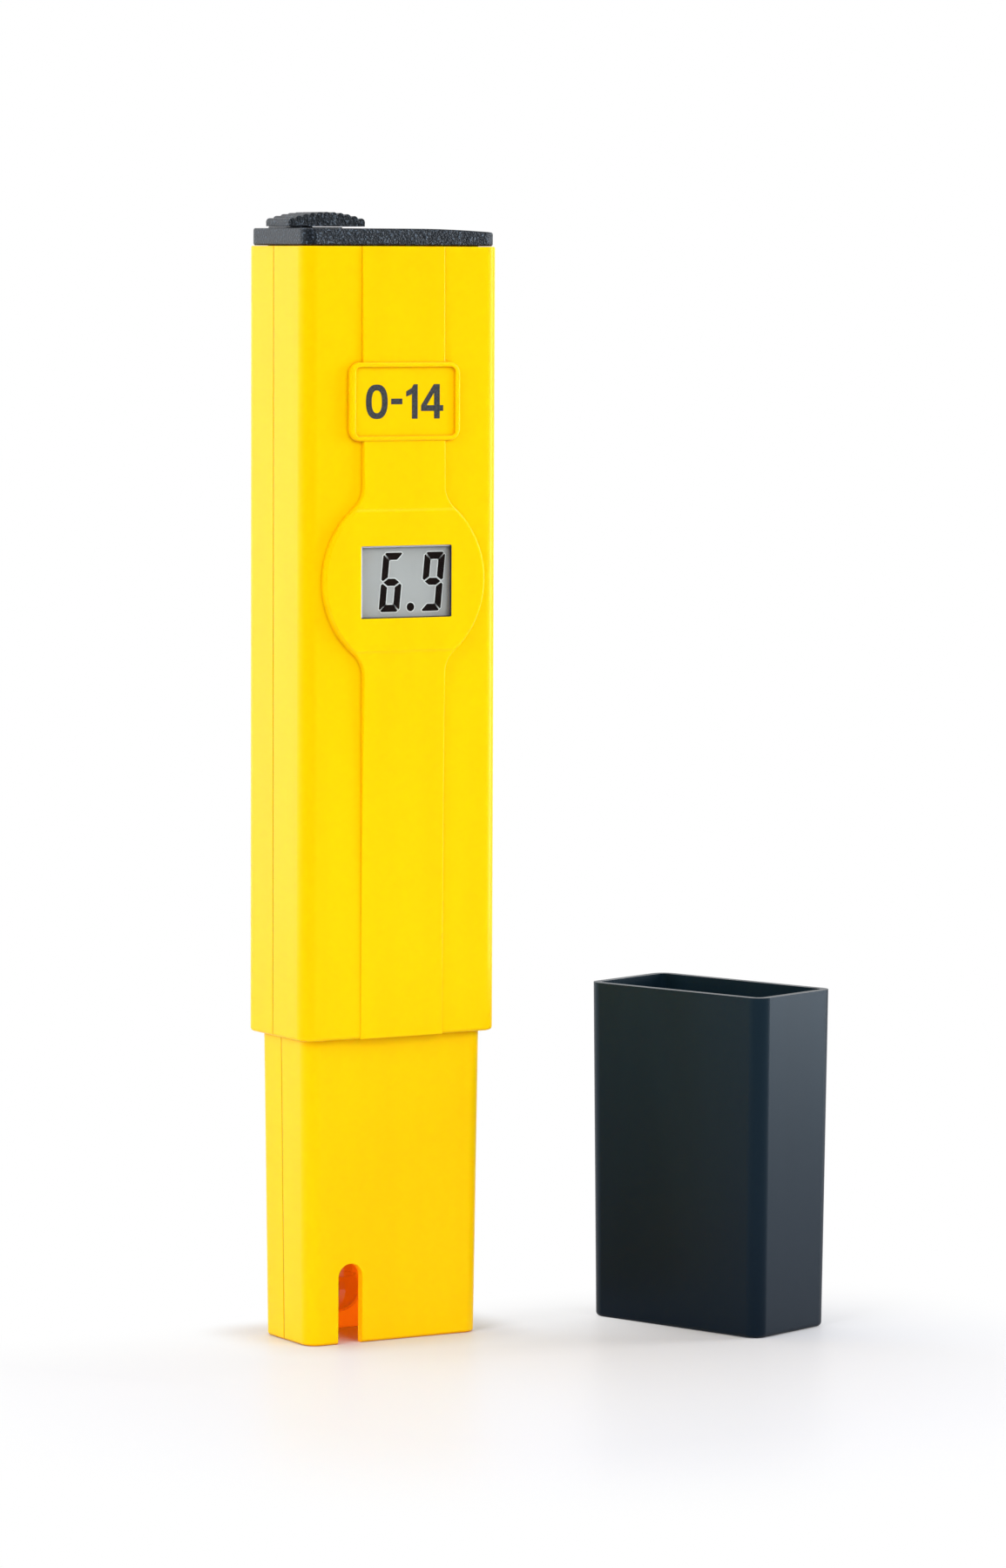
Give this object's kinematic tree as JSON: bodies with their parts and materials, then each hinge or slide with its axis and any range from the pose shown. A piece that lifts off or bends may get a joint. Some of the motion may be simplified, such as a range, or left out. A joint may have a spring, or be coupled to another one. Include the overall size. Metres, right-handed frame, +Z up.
{
  "type": "pocket ph meter",
  "caption": "Flat pocket pH meter standing on its open probe end, with a round display bezel, a pull-out battery drawer with a thumb switch, and its slip-on probe cap beside it.",
  "frame": {"origin": "centre of the open probe end, on the surface that the meter stands on", "axes": "+X to the right across the width as the display is read, +Y from the display to the back, +Z up along the meter"},
  "size_m": [0.0727, 0.0389, 0.1524],
  "materials": {
    "yellow_abs": "moulded ABS, satin gloss",
    "black_abs": "moulded ABS, fine spark-eroded grain",
    "black_cover": "moulded polypropylene, semi gloss",
    "clear_acrylic": "polished clear acrylic",
    "display_glass": "reflective twisted-nematic display glass",
    "conductive_rubber": "silicone rubber",
    "sealing_rubber": "nitrile rubber",
    "circuit_laminate": "glass-epoxy laminate with green solder mask",
    "black_resin": "cast black epoxy",
    "component_body": "moulded epoxy",
    "nickel": "nickel-plated steel",
    "screw_steel": "zinc-plated steel",
    "bronze": "bare phosphor bronze",
    "trimmer_plastic": "moulded blue nylon",
    "rotor_plastic": "moulded white acetal",
    "probe_glass": "clear blown glass",
    "carrier_plastic": "moulded polycarbonate",
    "porous_ceramic": "unglazed porous ceramic",
    "silver_wire": "silver wire",
    "lead_sleeve": "PVC insulation"
  },
  "bodies": {
    "housing": {"front_shell": "yellow_abs", "rear_shell": "yellow_abs", "display_window": "clear_acrylic", "lcd_glass": "display_glass", "lcd_frame": "black_abs", "zebra_strip_upper": "conductive_rubber", "zebra_strip_lower": "conductive_rubber", "circuit_board": "circuit_laminate", "chip_cover": "black_resin", "amplifier_chip": "component_body", "capacitor": "nickel", "crystal": "nickel", "trimmer_body": "trimmer_plastic", "board_spring_left": "bronze", "board_spring_right": "bronze", "board_screws": "screw_steel", "shell_screws": "screw_steel", "glass_bulb": "probe_glass", "glass_stem": "probe_glass", "stem_stopper": "sealing_rubber", "measuring_wire": "silver_wire", "electrode_carrier": "carrier_plastic", "carrier_gasket": "sealing_rubber", "reference_junction": "porous_ceramic", "reference_wire": "silver_wire", "reference_stopper": "sealing_rubber", "sealing_resin": "black_resin", "measuring_lead": "lead_sleeve", "reference_lead": "lead_sleeve"},
    "drawer": {"top_cap": "black_abs", "battery_tray": "black_abs", "positive_contact": "nickel", "negative_contact": "nickel", "switch_board": "circuit_laminate", "button_cell_1": "nickel", "button_cell_2": "nickel", "button_cell_3": "nickel", "button_cell_4": "nickel"},
    "thumb_switch": {"switch_knob": "black_abs", "switch_carriage": "rotor_plastic", "switch_wiper": "bronze"},
    "trimmer": {"trimmer_rotor": "rotor_plastic"},
    "cover": {"protective_cap": "black_cover"}
  },
  "joints": [
    {"name": "drawer_slide", "type": "slide", "parent": "housing", "child": "drawer", "axis": [0, 0, 1], "range_m": [0, 0.034]},
    {"name": "switch_slide", "type": "slide", "parent": "drawer", "child": "thumb_switch", "axis": [1, 0, 0], "range_m": [0, 0.0035]},
    {"name": "trimmer_turn", "type": "hinge", "parent": "housing", "child": "trimmer", "pos_m": [0, 0.002, 0.08], "axis": [0, 1, 0], "range_deg": [-135, 135]},
    {"name": "cover_lift", "type": "slide", "parent": "housing", "child": "cover", "axis": [0, 0, 1], "range_m": [0, 0.05]}
  ]
}
